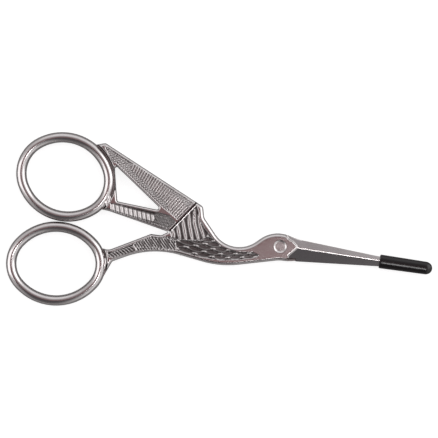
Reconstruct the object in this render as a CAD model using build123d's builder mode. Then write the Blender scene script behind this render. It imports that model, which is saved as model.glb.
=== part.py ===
"""Stork embroidery scissors: two crossing levers, a pivot screw and a soft guard on the blade tips.

The closing line runs along +X from the pivot axis to the blade tips, +Y is the side of the wing,
and +Z faces the viewer. The origin is on the pivot axis at the back face that the scissors lie on.
The front lever has the lower finger ring, the leg and the upper blade. The back lever has the upper
finger ring, the wing and the lower blade. Behind the pivot each lever is as thick as the whole
scissors up to its seam. Past the seam it is half as thick, and the two halves lie on each other.
"""

import os
from math import atan2, copysign, cos, degrees, hypot, radians, sin, tan

from build123d import *

# Driving sizes, in millimetres
thickness = 3.2              # of the closed scissors, and of both finger rings
parting_gap = 0.06           # between the two levers' flat inner faces
seam_gap = 0.5               # between the square end of one lever and the body of the other
blade_reach = 39.7           # pivot axis to the blade tips

rim_bevel = 0.7              # along the edges of the body, the wing and the leg
overrun = 1.0                # how far a cutting shape runs past what it cuts

# Carving, on both faces
carving_depth = 0.3
carving_land = 0.3           # flat strip between the carving and a bevel or a seam
stud_band = 1.9              # plain strip along the window's upper edge
wing_grooves = 26
arm_grooves = 9
feather_grooves = 6
thigh_grooves = 10
shank_grooves = 10
scale_rows = 3
scales_per_row = 7

# Finger rings
ring_reach = 60.8            # pivot axis back to the middle of the upper ring
ring_offset = 0.9            # how much nearer the lower ring is
upper_ring_rise = 10.35
lower_ring_drop = 13.45
upper_ring_bore = (21.5, 18.5)
lower_ring_bore = (21.6, 17.3)
upper_ring_tilt = -12.3      # degrees
lower_ring_tilt = 7.5        # degrees
ring_band = 2.85
ring_flats = 16              # round the band's oval section


# Blades
tip_width = 0.95
ridge_rise = 0.32            # closing line to the ridge at the root of the beak
ridge_height = 1.25          # parting face to the ridge at the root of the beak
tip_ridge_height = 0.6
edge_thickness = 0.2         # at the cutting edge
spine_thickness = 0.8        # along the back of the blade, at its root
tip_spine_thickness = 0.4
beak_root = 4.45             # pivot axis to the point of the head's face, where the ridge starts
choil_back = 2.6             # pivot axis to the notch before the cutting edge
choil_front = 4.75
choil_depth = 0.9
chin_drop = 3.7              # closing line down to the chin, at the choil's back
heel_step = 0.28             # chin up to the root of the cutting edge
window_round = 0.5           # corners of the wing frame's window
blade_inset = 0.12           # how far each hidden blade line stays inside the other blade

# Pivot screw
screw_head_diameter = 3.7
screw_head_height = 0.75
screw_sink = 0.1             # face of the bird's head down to the screw's head
screw_shank_diameter = 2.2
thread_diameter = 1.7
button_diameter = 1.9
dish_depth = 0.3
slot_width = 0.3
slot_depth = 0.22
slot_angle = -45             # degrees
running_clearance = 0.03
thread_clearance = 0.02
screw_bevel = 0.12

# Tip guard
guard_cover = 12.2           # blade tips back to its mouth
guard_length = 14.5
guard_height = 3.8
guard_taper = 0.7            # degrees, on every side
guard_wall = 0.42            # above and below the blades
guard_side_wall = 0.65       # in front of and behind the blades
guard_end_wall = 1.7
guard_round = 1.3            # corners of its section
guard_end_bevel = 0.7
guard_drop = 0.15            # closing line down to the middle of its mouth

parting = thickness / 2
far = 2 * ring_reach
front_face = parting + parting_gap / 2
back_face = parting - parting_gap / 2
closing_axis = Axis((0, 0, parting), (1, 0, 0))

# The bird's corners, as shares of the reach to the rings, and how much of its shorter side each
# corner's rounding takes
shoulder_share, shoulder_round_share = (-0.3676, 0.1278), 0.3
collar_share, collar_round_share = (-0.3561, 0.0789), 0.21
nape_share, nape_round_share = (-0.2056, -0.0872), 0.6
crown_share, crown_round_share = (-0.0395, 0.0717), 0.6
brow_share, brow_round_share = (0.0801, 0.0429), 0.1
chin_share, chin_round_share = (0.0033, -0.062), 0.38
breast_share, breast_round_share = (-0.2533, -0.1288), 0.32
thigh_share, thigh_round_share = (-0.5658, -0.0847), 0.66
knee_share, knee_round_share = (-0.5822, -0.028), 0.1
haunch_share, haunch_round_share = (-0.5362, -0.028), 0.14
notch_share = (-0.5049, -0.0074)
window_shares = [(-0.79, 0.2585), (-0.544, 0.0819), (-0.7535, 0.0958), (-0.771, 0.1735)]
seam_top_share = 0.066       # of the wing's top edge, from the shoulder
hip_share = 0.615            # of the way from the breast's corner to the thigh's

# Where the frames run into the rings: the angle from each ring's long axis, and the share of its
# band that the corner stands outside the band's middle
wing_tip_place, wing_tip_round_share = (63, 1.2), 0.1
crotch_place, crotch_round_share = (-18.8, 1.175), 0.4
ankle_place, ankle_round_share = (17.7, 0.98), 0.25
heel_place, heel_round_share = (3.5, 1.1), 0.06
spur_place, spur_round_share = (-25, 0.43), 0.3
spur_end_place = (-45.8, 0.4)
upper_web_places = [(74, 0), (45, 0), (10, 0), (-28, 0)]
lower_web_places = [(-46, 0), (-20, 0), (5, 0), (28, 0)]

# Where each carved field starts and ends along the outline's sides that it follows
wing_top_shares, wing_foot_shares = (0.1, 0.77), (1.22, 0.14)
arm_top_shares, arm_foot_shares = (-0.08, 0.76), (0.06, 0.7)
feather_top_shares = (0.2, 0.93)
feather_foot_shares = [(-0.3437, -0.0165), (-0.477, -0.028)]
thigh_top_shares, thigh_foot_shares = (0.02, 1.9), (-0.02, 0.3)
shank_top_shares, shank_foot_shares = (0.1, 0.86), (0.1, 0.85)
scale_top_shares = [(-0.455, -0.037), (-0.33, -0.031), (-0.125, -0.053)]
scale_foot_shares = [(-0.448, -0.08), (-0.25, -0.094), (-0.12, -0.0665)]
groove_share = 0.5           # of the grooves' pitch
scale_share = 0.8            # of the scales' pitch and of their row

# Other shares
face_shares = [(0.135, 0.89), (0.396, 0.525), (0.733, 0.372), (0.93, 0.195)]
throat_share = 0.9           # of the choil's back, from the pivot to the end of the lower facet


def placed(shares, length, height):
    """Return points whose coordinates are shares of a length and a height."""
    return [(x_share * length, y_share * height) for x_share, y_share in shares]


def between(start, end, share):
    """Return the point at a share of the way from start to end."""
    return tuple(a + (b - a) * share for a, b in zip(start, end))


def along(line, share):
    """Return the point at a share of the way along a line, in which each side counts alike."""
    sides = len(line) - 1
    side = min(max(int(share * sides), 0), sides - 1)
    return between(line[side], line[side + 1], share * sides - side)


def inset(start, end, shares, gap):
    """Return the line between two shares of the way from start to end, moved to its left by a gap."""
    run, rise = end[0] - start[0], end[1] - start[1]
    shift = (-rise * gap / hypot(run, rise), run * gap / hypot(run, rise))
    return [tuple(a + b for a, b in zip(between(start, end, share), shift)) for share in shares]


def comb(top, foot, count, open_share, first=0):
    """Return four-sided outlines, evenly spaced from one line across to another.

    count is the pitches along the lines, and first is where the first outline's pitch starts.
    """
    outlines = []
    for index in range(int(count - first)):
        middle = first + index + 1 / 2
        ends = [(middle + side * open_share / 2) / count for side in (-1, 1)]
        outlines.append([along(top, end) for end in ends] + [along(foot, end) for end in ends[::-1]])
    return outlines


def corner_radii(points, shares):
    """Return the radius that rounds each inner corner over a share of its shorter side."""
    radii = []
    for before, corner, after, share in zip(points, points[1:], points[2:], shares):
        sides = [Vector(*end) - Vector(*corner) for end in (before, after)]
        half_angle = radians(sides[0].get_angle(sides[1])) / 2
        radii.append(min(side.length for side in sides) * share * tan(half_angle))
    return radii


def ring_points(centre, bore, tilt, places):
    """Return points round a ring, each at an angle and a share of the band outside its middle."""
    points = []
    for angle, share in places:
        along = ((bore[0] + ring_band) / 2 + share * ring_band) * cos(radians(angle))
        across = ((bore[1] + ring_band) / 2 + share * ring_band) * sin(radians(angle))
        point = Vector(along, across).rotate(Axis.Z, tilt) + Vector(*centre)
        points.append((point.X, point.Y))
    return points


def left_of(outline, start, end):
    """Return the part of an outline on the left of the line that runs from start to end."""
    run, rise = end[0] - start[0], end[1] - start[1]
    line = Plane((start[0], start[1], 0), x_dir=(run, rise, 0), z_dir=(0, 0, 1))
    with BuildSketch() as kept:
        add(outline)
        with BuildLine(line):
            Polyline((-far, 0), (far, 0), (far, far), (-far, far), close=True)
        make_face(mode=Mode.INTERSECT)
    return kept.sketch


def rim_edges(face, ring, bore, seam_end):
    """Return the edges round a face, without those at its ring, its seam and its blade."""
    seam = Axis((0, 0, 0), (seam_end[0] - notch[0], seam_end[1] - notch[1], 0))
    edges = face.outer_wire().edges()
    edges = edges - edges.filter_by(seam) - edges.filter_by(Axis.Y)
    centre = Vector(ring[0], ring[1], face.center().Z)
    return edges.filter_by(lambda edge: (edge.center() - centre).length > (bore[0] + ring_band) / 2)


def finger_ring(centre, bore, tilt):
    """Sweep an oval section, ground in flats, round an oval of four tangent arcs."""
    long = (bore[0] + ring_band) / 2
    wide = (bore[1] + ring_band) / 2
    end_radius = wide * wide / long
    reach = long - end_radius
    side_radius = (reach**2 + wide**2 - end_radius**2) / (2 * (wide - end_radius))
    join = degrees(atan2(side_radius - wide, reach))
    with BuildPart() as ring:
        with BuildLine(Plane.XY.offset(parting)) as path:
            CenterArc((reach, 0), end_radius, -join, 2 * join)
            CenterArc((0, wide - side_radius), side_radius, join, 180 - 2 * join)
            CenterArc((-reach, 0), end_radius, 180 - join, 2 * join)
            CenterArc((0, side_radius - wide), side_radius, 180 + join, 180 - 2 * join)
        with BuildSketch(Plane((long, 0, parting), x_dir=(1, 0, 0), z_dir=(0, 1, 0))):
            with BuildLine():
                half_turn = radians(180 / ring_flats)
                turns = [(2 * flat + 1) * half_turn for flat in range(ring_flats)]
                across, along = ring_band / 2 / cos(half_turn), parting / cos(half_turn)
                Polyline([(across * cos(turn), along * sin(turn)) for turn in turns], close=True)
            make_face()
        sweep(path=path.line)
    return ring.part.rotate(Axis.Z, tilt).translate((centre[0], centre[1], 0))


def guard_section(x, y):
    """Return the plane of a section of the guard, centred at a height above the closing line."""
    return Plane((x, y, parting), x_dir=(0, 1, 0), z_dir=(1, 0, 0))


def seam_slot(end, low, high):
    """Return a slot along a seam, from the notch past the seam's other end, between two levels."""
    run, rise = end[0] - notch[0], end[1] - notch[1]
    with BuildPart() as slot:
        with BuildSketch(Plane((notch[0], notch[1], low), x_dir=(run, rise, 0), z_dir=(0, 0, 1))):
            with Locations((-seam_gap / 2, 0)):
                Rectangle(hypot(run, rise) + overrun, seam_gap, align=(Align.MIN, Align.CENTER))
        extrude(amount=high - low)
    return slot.part


def carving(outlines, level, height):
    """Return pockets of the given outlines, from a level up."""
    with BuildPart() as pockets:
        with BuildSketch(Plane.XY.offset(level)):
            for outline in outlines:
                with BuildLine():
                    Polyline(outline, close=True)
                make_face()
        extrude(amount=height)
    return pockets.part


def grind(root, tip, root_height, tip_height, plan):
    """Return what the wheel takes off one side of a blade, inside a plan region.

    root and tip are how far the blade's outer line lies above the closing line, at the root of the
    beak and at the tip. root_height and tip_height are the metal left there above the parting face.
    """
    side = copysign(1, root)
    start = (beak_root, ridge_rise, ridge_height, root, root_height)
    end = (blade_reach, 0, tip_ridge_height, tip, tip_height)
    with BuildPart() as cutter:
        for share in (-beak_root / blade_reach, 1 + overrun / blade_reach):
            x, ridge_y, ridge_z, side_y, side_z = (a + (b - a) * share for a, b in zip(start, end))
            past = side_y + side * overrun
            past_z = ridge_z + (side_z - ridge_z) * (past - ridge_y) / (side_y - ridge_y)
            with BuildSketch(Plane.YZ.offset(x)):
                with BuildLine():
                    Polyline(
                        (ridge_y, front_face + ridge_z),
                        (past, front_face + past_z),
                        (past, thickness + overrun),
                        (ridge_y, thickness + overrun),
                        close=True,
                    )
                make_face()
        loft(ruled=True)
        extrude(plan, amount=2 * thickness, mode=Mode.INTERSECT)
    return cutter.part


# Landmarks of the outlines
shoulder, collar, nape, crown, brow = placed(
    [shoulder_share, collar_share, nape_share, crown_share, brow_share], ring_reach, ring_reach
)
chin_bend, breast, thigh, knee, haunch, notch = placed(
    [chin_share, breast_share, thigh_share, knee_share, haunch_share, notch_share], ring_reach, ring_reach
)
window = placed(window_shares, ring_reach, ring_reach)
upper_ring = (-ring_reach, upper_ring_rise)
lower_ring = (-ring_reach + ring_offset, -lower_ring_drop)
upper_web = ring_points(upper_ring, upper_ring_bore, upper_ring_tilt, upper_web_places)
lower_web = ring_points(lower_ring, lower_ring_bore, lower_ring_tilt, lower_web_places)
wing_tip, crotch = ring_points(
    upper_ring, upper_ring_bore, upper_ring_tilt, [wing_tip_place, crotch_place]
)
ankle, heel, spur, spur_end = ring_points(
    lower_ring, lower_ring_bore, lower_ring_tilt, [ankle_place, heel_place, spur_place, spur_end_place]
)
seam_top = between(shoulder, wing_tip, seam_top_share)
hip = between(breast, thigh, hip_share)
chin = (choil_back, -chin_drop)
edge_root = (choil_front, heel_step - chin_drop)
spine_tip = (blade_reach - tip_width / 2, tip_width / 2)
edge_tip = (blade_reach - tip_width / 2, -tip_width / 2)
back_edge_root = (edge_root[0], edge_root[1] + blade_inset)
back_edge_tip = (edge_tip[0], edge_tip[1] + blade_inset)
ridge_root = (beak_root, ridge_rise)
blade_end = blade_reach + overrun

# Carved grooves of the wing and its arm, of the body's feathers and scales, and of the leg
edge_gap = rim_bevel + carving_land
wing_top = inset(shoulder, wing_tip, wing_top_shares, edge_gap)
wing_foot = inset(window[0], window[1], wing_foot_shares, stud_band)
arm_top = inset(window[2], window[1], arm_top_shares, -edge_gap)
arm_foot = inset(crotch, notch, arm_foot_shares, edge_gap)
frame_carving = comb(wing_top, wing_foot, wing_grooves, groove_share)
frame_carving += comb(arm_top, arm_foot, arm_grooves, groove_share)

feather_top = inset(seam_top, notch, feather_top_shares, seam_gap / 2 + carving_land)
feather_foot = placed(feather_foot_shares, ring_reach, ring_reach)
scale_top = placed(scale_top_shares, ring_reach, ring_reach)
scale_foot = placed(scale_foot_shares, ring_reach, ring_reach)
body_carving = comb(feather_top, feather_foot, feather_grooves, groove_share)
for row in range(scale_rows):
    middle = row + 1 / 2
    levels = [(middle + side * scale_share / 2) / scale_rows for side in (-1, 1)]
    upper, lower = ([between(*ends, level) for ends in zip(scale_top, scale_foot)] for level in levels)
    body_carving += comb(upper, lower, scales_per_row, scale_share, first=row % 2 / 2)

thigh_top = inset(knee, haunch, thigh_top_shares, -edge_gap)
thigh_foot = inset(thigh, breast, thigh_foot_shares, rim_bevel)
shank_top = inset(ankle, knee, shank_top_shares, -edge_gap)
shank_foot = inset(heel, thigh, shank_foot_shares, edge_gap)
leg_carving = comb(thigh_top, thigh_foot, thigh_grooves, groove_share)
leg_carving += comb(shank_top, shank_foot, shank_grooves, groove_share)

# Outline of each lever, anticlockwise from behind the notch
head_line = [shoulder, collar, nape, crown, brow, spine_tip]
head_rounds = [shoulder_round_share, collar_round_share, nape_round_share, crown_round_share]
head_rounds += [brow_round_share]
leg_line = [lower_web[-1], ankle, knee, haunch, notch]
leg_rounds = [ankle_round_share, knee_round_share, haunch_round_share]
belly_line = [chin, chin_bend, breast, thigh, heel, spur, spur_end]
belly_rounds = [chin_round_share, breast_round_share, thigh_round_share, heel_round_share]
belly_rounds += [spur_round_share]
with BuildSketch() as front_outline:
    with BuildLine():
        FilletPolyline(leg_line, radius=corner_radii(leg_line, leg_rounds))
        Line(notch, seam_top)
        front_line = [seam_top] + head_line
        FilletPolyline(front_line, radius=corner_radii(front_line, head_rounds))
        ThreePointArc(spine_tip, (blade_reach, 0), edge_tip)
        Polyline(
            edge_tip,
            edge_root,
            (choil_front, edge_root[1] + choil_depth),
            (choil_back, chin[1] + choil_depth),
            chin,
        )
        FilletPolyline(belly_line, radius=corner_radii(belly_line, belly_rounds))
        Polyline([spur_end] + lower_web)
    make_face()

with BuildSketch() as back_outline:
    with BuildLine():
        back_line = [upper_web[0], wing_tip] + head_line
        back_rounds = [wing_tip_round_share] + head_rounds
        FilletPolyline(back_line, radius=corner_radii(back_line, back_rounds))
        ThreePointArc(spine_tip, (blade_reach - blade_inset, 0), back_edge_tip)
        Polyline(back_edge_tip, back_edge_root, chin)
        breast_line = [chin, chin_bend, breast, hip]
        breast_rounds = [chin_round_share, breast_round_share]
        FilletPolyline(breast_line, radius=corner_radii(breast_line, breast_rounds))
        Line(hip, notch)
        arm_line = [notch, crotch, upper_web[-1]]
        FilletPolyline(arm_line, radius=corner_radii(arm_line, [crotch_round_share]))
        Polyline(upper_web)
    make_face()

with BuildSketch() as window_outline:
    with BuildLine():
        FilletPolyline(window, radius=window_round, close=True)
    make_face()

with BuildSketch() as spine_plan:
    with BuildLine():
        face_edge = placed(face_shares, beak_root, crown[1])
        Spline(face_edge + [ridge_root])
        Polyline(
            ridge_root,
            (beak_root, -overrun),
            (blade_end, -overrun),
            (blade_end, face_edge[0][1]),
            face_edge[0],
        )
    make_face()

with BuildSketch() as edge_plan:
    with BuildLine():
        throat = (throat_share * choil_back, chin[1] + choil_depth + rim_bevel)
        Polyline(
            (beak_root, overrun),
            ridge_root,
            throat,
            (throat[0], 2 * chin[1]),
            (blade_end, 2 * chin[1]),
            (blade_end, overrun),
            close=True,
        )
    make_face()

# Front lever: lower finger ring, leg, body and upper blade
head_end = (choil_back, 0)
blade_start = (choil_back, -chin_drop)
with BuildPart() as front_lever:
    with BuildSketch(Plane.XY.offset(front_face)):
        add(left_of(front_outline.sketch, blade_start, head_end))
    extrude(amount=back_face)
    with BuildSketch(Plane.XY):
        add(left_of(front_outline.sketch, hip, notch))
    extrude(amount=front_face)
    bottom, top = front_lever.faces().sort_by(Axis.Z)[0], front_lever.faces().sort_by(Axis.Z)[-1]
    chamfer(rim_edges(bottom, lower_ring, lower_ring_bore, hip), rim_bevel)
    chamfer(rim_edges(top, lower_ring, lower_ring_bore, seam_top), rim_bevel)
    with BuildSketch(Plane.XY.offset(front_face)):
        add(left_of(front_outline.sketch, head_end, blade_start))
    extrude(amount=back_face)
    add(seam_slot(hip, -overrun, front_face), mode=Mode.SUBTRACT)
    add(seam_slot(seam_top, back_face, thickness + overrun), mode=Mode.SUBTRACT)
    add(finger_ring(lower_ring, lower_ring_bore, lower_ring_tilt))
    carved_level = thickness - carving_depth
    pocket_height = carving_depth + overrun
    add(carving(body_carving + leg_carving, carved_level, pocket_height), mode=Mode.SUBTRACT)
    add(carving(leg_carving, -overrun, pocket_height), mode=Mode.SUBTRACT)
    for cut in (
        grind(brow[1], tip_width / 2, spine_thickness, tip_spine_thickness, spine_plan.sketch),
        grind(edge_root[1], -tip_width / 2, edge_thickness, edge_thickness, edge_plan.sketch),
    ):
        add(cut, mode=Mode.SUBTRACT)
    seat = thickness - screw_sink - screw_head_height - running_clearance
    with Locations((0, 0, thickness)):
        CounterBoreHole(
            screw_shank_diameter / 2 + running_clearance,
            screw_head_diameter / 2 + running_clearance,
            thickness - seat,
        )
front_lever.part.label = "front_lever"

# Back lever: upper finger ring, wing, body and lower blade
with BuildPart() as back_lever:
    with BuildSketch(Plane.XY):
        add(left_of(back_outline.sketch, blade_start, head_end))
    extrude(amount=back_face)
    with BuildSketch(Plane.XY.offset(back_face)):
        add(left_of(back_outline.sketch, notch, seam_top))
    extrude(amount=front_face)
    bottom, top = back_lever.faces().sort_by(Axis.Z)[0], back_lever.faces().sort_by(Axis.Z)[-1]
    chamfer(rim_edges(bottom, upper_ring, upper_ring_bore, hip), rim_bevel)
    chamfer(rim_edges(top, upper_ring, upper_ring_bore, seam_top), rim_bevel)
    with BuildSketch(Plane.XY):
        add(left_of(back_outline.sketch, head_end, blade_start))
    extrude(amount=back_face)
    extrude(window_outline.sketch, amount=thickness, mode=Mode.SUBTRACT)
    add(seam_slot(hip, -overrun, front_face), mode=Mode.SUBTRACT)
    add(seam_slot(seam_top, back_face, thickness + overrun), mode=Mode.SUBTRACT)
    add(finger_ring(upper_ring, upper_ring_bore, upper_ring_tilt))
    add(carving(frame_carving, carved_level, pocket_height), mode=Mode.SUBTRACT)
    add(carving(frame_carving + body_carving, -overrun, pocket_height), mode=Mode.SUBTRACT)
    for cut in (
        grind(-back_edge_root[1], tip_width / 2, spine_thickness, tip_spine_thickness, spine_plan.sketch),
        grind(-brow[1], -tip_width / 2, edge_thickness, edge_thickness, edge_plan.sketch),
    ):
        add(cut.rotate(closing_axis, 180), mode=Mode.SUBTRACT)
    with BuildSketch(Plane.XY):
        with BuildLine():
            choil_level = brow[1] - choil_depth / 2
            Polyline(
                (choil_back, 2 * brow[1]),
                (choil_back, choil_level),
                (choil_front, choil_level),
                (choil_front, brow[1] - blade_inset),
                (blade_end, spine_tip[1] - blade_inset),
                (blade_end, 2 * brow[1]),
                close=True,
            )
        make_face()
    extrude(amount=thickness, mode=Mode.SUBTRACT)
    with Locations((0, 0, thickness)):
        Hole(thread_diameter / 2 + thread_clearance)
back_lever.part.label = "back_lever"

# Pivot screw, turned on its own axis, with a shoulder that seats on the back lever
with BuildPart() as pivot_screw:
    with BuildSketch(Plane.XZ):
        with BuildLine():
            top = thickness - screw_sink
            head = screw_head_diameter / 2
            button = button_diameter / 2
            shank = screw_shank_diameter / 2
            thread = thread_diameter / 2
            Polyline(
                (0, 0),
                (thread - screw_bevel, 0),
                (thread, screw_bevel),
                (thread, back_face),
                (shank, back_face),
                (shank, top - screw_head_height),
                (head, top - screw_head_height),
                (head, top - screw_bevel),
                (head - screw_bevel, top),
                (button + dish_depth, top - dish_depth),
                (button, top - dish_depth),
                (button, top - screw_bevel),
                (button - screw_bevel, top),
                (0, top),
                close=True,
            )
        make_face()
    revolve(axis=Axis.Z)
    with BuildSketch(Plane.XY.offset(top - slot_depth)):
        Rectangle(button_diameter + overrun, slot_width, rotation=slot_angle)
    extrude(amount=slot_depth + overrun, mode=Mode.SUBTRACT)
pivot_screw.part.label = "pivot_screw"

# Tip guard: a soft sleeve with a closed round end, hollow for both blade tips
with BuildPart() as tip_guard:
    guard_mouth = blade_reach - guard_cover
    with BuildSketch(guard_section(guard_mouth, -guard_drop / 2)):
        RectangleRounded(guard_height, thickness, guard_round)
    extrude(amount=guard_length, taper=guard_taper)
    chamfer(tip_guard.faces().sort_by(Axis.X)[-1].edges(), guard_end_bevel)
    pocket = guard_length - guard_end_wall
    narrowing = 2 * pocket * tan(radians(guard_taper))
    with BuildSketch(guard_section(guard_mouth, -guard_drop)):
        Rectangle(guard_height - 2 * guard_wall, thickness - 2 * guard_side_wall)
    with BuildSketch(guard_section(guard_mouth + pocket, 0)):
        Rectangle(guard_height - 2 * guard_wall - narrowing, thickness - 2 * guard_side_wall - narrowing)
    loft(mode=Mode.SUBTRACT)
tip_guard.part.label = "tip_guard"

os.makedirs("parts", exist_ok=True)
export_step(front_lever.part, "parts/front_lever.step")
export_step(back_lever.part, "parts/back_lever.step")
export_step(pivot_screw.part, "parts/pivot_screw.step")
export_step(tip_guard.part, "parts/tip_guard.step")
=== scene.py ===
"""Stork embroidery scissors in bright plated steel, closed, with a black vinyl tip guard.

Plan shapes are worked out in millimetres in the CAD frame and put into each mesh in metres.
"""

import bpy
import numpy as np
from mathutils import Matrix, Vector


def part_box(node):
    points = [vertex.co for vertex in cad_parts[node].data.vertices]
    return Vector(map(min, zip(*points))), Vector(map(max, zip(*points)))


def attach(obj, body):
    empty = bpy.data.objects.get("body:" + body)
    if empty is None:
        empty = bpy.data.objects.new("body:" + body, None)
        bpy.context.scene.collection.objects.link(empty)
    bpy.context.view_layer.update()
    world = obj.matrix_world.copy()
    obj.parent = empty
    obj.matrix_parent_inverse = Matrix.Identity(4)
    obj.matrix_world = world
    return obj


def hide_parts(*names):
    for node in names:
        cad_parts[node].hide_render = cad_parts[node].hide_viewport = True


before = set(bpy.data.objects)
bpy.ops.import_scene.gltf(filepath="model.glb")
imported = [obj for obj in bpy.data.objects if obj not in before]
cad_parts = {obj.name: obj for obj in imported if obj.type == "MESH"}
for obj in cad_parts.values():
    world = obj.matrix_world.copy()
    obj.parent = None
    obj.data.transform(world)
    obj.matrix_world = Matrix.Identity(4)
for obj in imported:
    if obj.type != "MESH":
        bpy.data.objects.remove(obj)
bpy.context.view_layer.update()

bl_info = {
    "name": "Stork Embroidery Scissors",
    "version": (1, 0, 0),
    "blender": (4, 5, 0),
    "location": "View3D > Sidebar > Scissors",
    "description": "Builds stork embroidery scissors with carved handles and a tip guard",
    "category": "Add Mesh",
}

MM = 1000.0
PITCH = 0.13  # of the grids that the plates in view are made from
UNDER_PITCH = 0.18  # of the plates underneath

# Corners of the outlines, and the radius that rounds each one
HEAD = [(-22.35, 7.77), (-21.65, 4.8), (-12.5, -5.3), (-2.4, 4.36), (4.87, 2.61), (39.225, 0.475)]
HEAD_ROUNDS = [1.29, 2.48, 7.96, 8.22, 8.56]
BACK_SHOULDER_ROUND = 1.88
BLADE_END = (39.7, 0.0)
EDGE_TIP = (39.225, -0.475)
CHOIL = [(4.75, -3.42), (4.75, -2.52), (2.6, -2.8)]
BELLY = [(2.6, -3.7), (0.2, -3.77), (-15.4, -7.83), (-34.4, -5.15), (-44.8, -10.66), (-47.2, -16.6)]
BELLY_ROUNDS = [8.05, 25.8, 24.0, 1.05, 12.4]
SPUR_END = (-49.6, -20.2)
LEG_TOP = [(-46.2, -7.7), (-35.4, -1.7), (-32.6, -1.7), (-30.7, -0.45)]
LEG_TOP_ROUNDS = [2.9, 1.08, 1.06]
NOTCH = LEG_TOP[-1]
HIP = (-27.1, -6.2)
SEAM_TOP = (-24.25, 8.65)
WING_TIP = (-51.2, 21.1)
WING_TIP_ROUND = 1.08
CROTCH = (-47.4, 2.8)
CROTCH_ROUND = 2.2
WINDOW = [(-48.0, 15.7), (-33.1, 5.0), (-45.8, 5.8), (-46.9, 10.55)]
WINDOW_ROUND = 0.5
BACK_BLADE_INSET = 0.12  # of the lower blade's end and edge behind the upper blade's

# The blades' ridge, and heights above the parting face from the ridge's root to the tip
RIDGE_ROOT = (4.45, 0.32)
RIDGE_HEIGHTS = (1.25, 0.6)
SPINE_HEIGHTS = (0.8, 0.4)
EDGE_HEIGHT = 0.2
LAND_CUT, LAND_SLOPE = 0.045, 0.08  # how much of the ridge the land takes off, and its slope
FACE_EDGE = [(0.6, 3.88), (1.76, 2.29), (3.26, 1.62), (4.14, 0.85), (4.45, 0.32)]
FACE_EASE = 0.3  # width over which the ground face begins

# Width of each rounded rim and how far it falls
LEG_RIM = (0.6, 0.55)
BELLY_RIM_WIDTH = 0.75
WING_RIM = (0.85, 0.6)
ARM_RIM = (0.8, 0.6)
WINDOW_RIM = (0.55, 0.45)
RIM_LIP = 0.22  # radius of the small quarter round at a rim's very edge

SCREW_HEAD, SCREW_SHANK, SCREW_THREAD = 3.7, 2.2, 1.7  # diameters
SCREW_PLAY, SCREW_SEAT, THREAD_PLAY = 0.03, 2.32, 0.02

UPPER_RING = ((-60.8, 10.35), (21.5, 18.5), -12.3)  # centre, bore, tilt in degrees
LOWER_RING = ((-59.9, -13.45), (21.6, 17.3), 7.5)
UPPER_WEB = (74, -28)  # where the plates meet each ring, in degrees round it
LOWER_WEB = (-46, 28)
RING_SLACK = 0.008  # by which a ring's band stays inside the CAD box
RING_FLANK_SHADE = 0.45  # painted shade: how far the plating is darkened on a ring's flanks
RING_GROOVE = 0.95  # depth of the groove that parts a ring from its plate

# Start, end and half width of the petals where the rings meet the wing's arm and the leg
UPPER_PETALS = [
    ((-48.2, 7.4), (-49.5, 3.5), 0.6),
    ((-48.1, 7.2), (-47.1, 4.0), 0.5),
    ((-48.2, 6.0), (-48.3, 3.7), 0.5),
]
LOWER_PETALS = [((-46.7, -9.9), (-47.0, -13.5), 0.65), ((-47.5, -8.8), (-47.7, -10.8), 0.34)]
PETAL_LEVEL = 0.62  # of the petals' middles below the top face and above the bottom one

GUARD_NOSE = 1.9  # length of the rounded end
GUARD_TAPER = 0.0122  # taken off each half size along the guard
GUARD_POWER = 2.5  # 2 is an ellipse, and more is squarer
GUARD_WALLS = (0.42, 0.65)  # at the sides, and above and below
GUARD_CAP = 1.7  # solid length at the closed end

LONG_FEATHERS = [
    [(-29.75, 0.25), (-29.0, -1.7)],
    [(-28.6, 1.75), (-27.4, -1.75)],
    [(-27.4, 3.4), (-26.6, 1.0), (-25.7, -1.75)],
    [(-26.0, 5.4), (-25.3, 2.2), (-24.0, -1.6)],
    [(-24.6, 6.5), (-24.1, 3.0), (-22.4, -1.2)],
    [(-23.2, 5.3), (-22.4, 2.4), (-21.0, -0.5)],
]
FEATHER_WIDTH, QUILL_WIDTH, FEATHER_TAPER = 0.62, 0.16, 0.3

CAMERA_HEIGHT = 0.7
VIEW_CENTRE = (-0.01759, 0.00503)
LAMP_AIM = (-0.0176, 0.005, 0)
# Name, place, size and power of each lamp
LAMPS = (
    ("left_softbox", (-0.62, -0.08, 0.4), (0.5, 0.8), 1.2),
    ("right_softbox", (0.56, 0.28, 0.4), (0.6, 0.8), 1.45),
    ("back_softbox", (0.0, 0.62, 0.45), (1.2, 0.6), 0.6),
    ("small_lamp", (0.108, -0.1, 0.64), (0.075, 0.13), 0.22),
)
FLOOR_GLOW = 0.8  # added where the camera sees the floor itself
# Place from the front of the room (0) over its top (0.5) to its back (1), and the colour there
ROOM_SHADES = (
    (0.0, (0.16, 0.15, 0.15)),
    (0.2, (0.08, 0.075, 0.08)),
    (0.38, (0.06, 0.056, 0.06)),
    (0.44, (0.14, 0.08, 0.08)),
    (0.52, (0.235, 0.13, 0.133)),
    (0.62, (0.32, 0.295, 0.3)),
    (0.75, (0.45, 0.43, 0.44)),
    (1.0, (0.7, 0.69, 0.7)),
)
# Axis of the direction, where the wall starts and is full, and its colour
ROOM_WALLS = (
    ("X", -0.25, -0.75, (0.6, 0.58, 0.58, 1)),
    ("X", 0.02, 0.75, (0.85, 0.84, 0.84, 1)),
    ("Z", 0.15, 0.0, (0.6, 0.6, 0.6, 1)),
)


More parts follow.
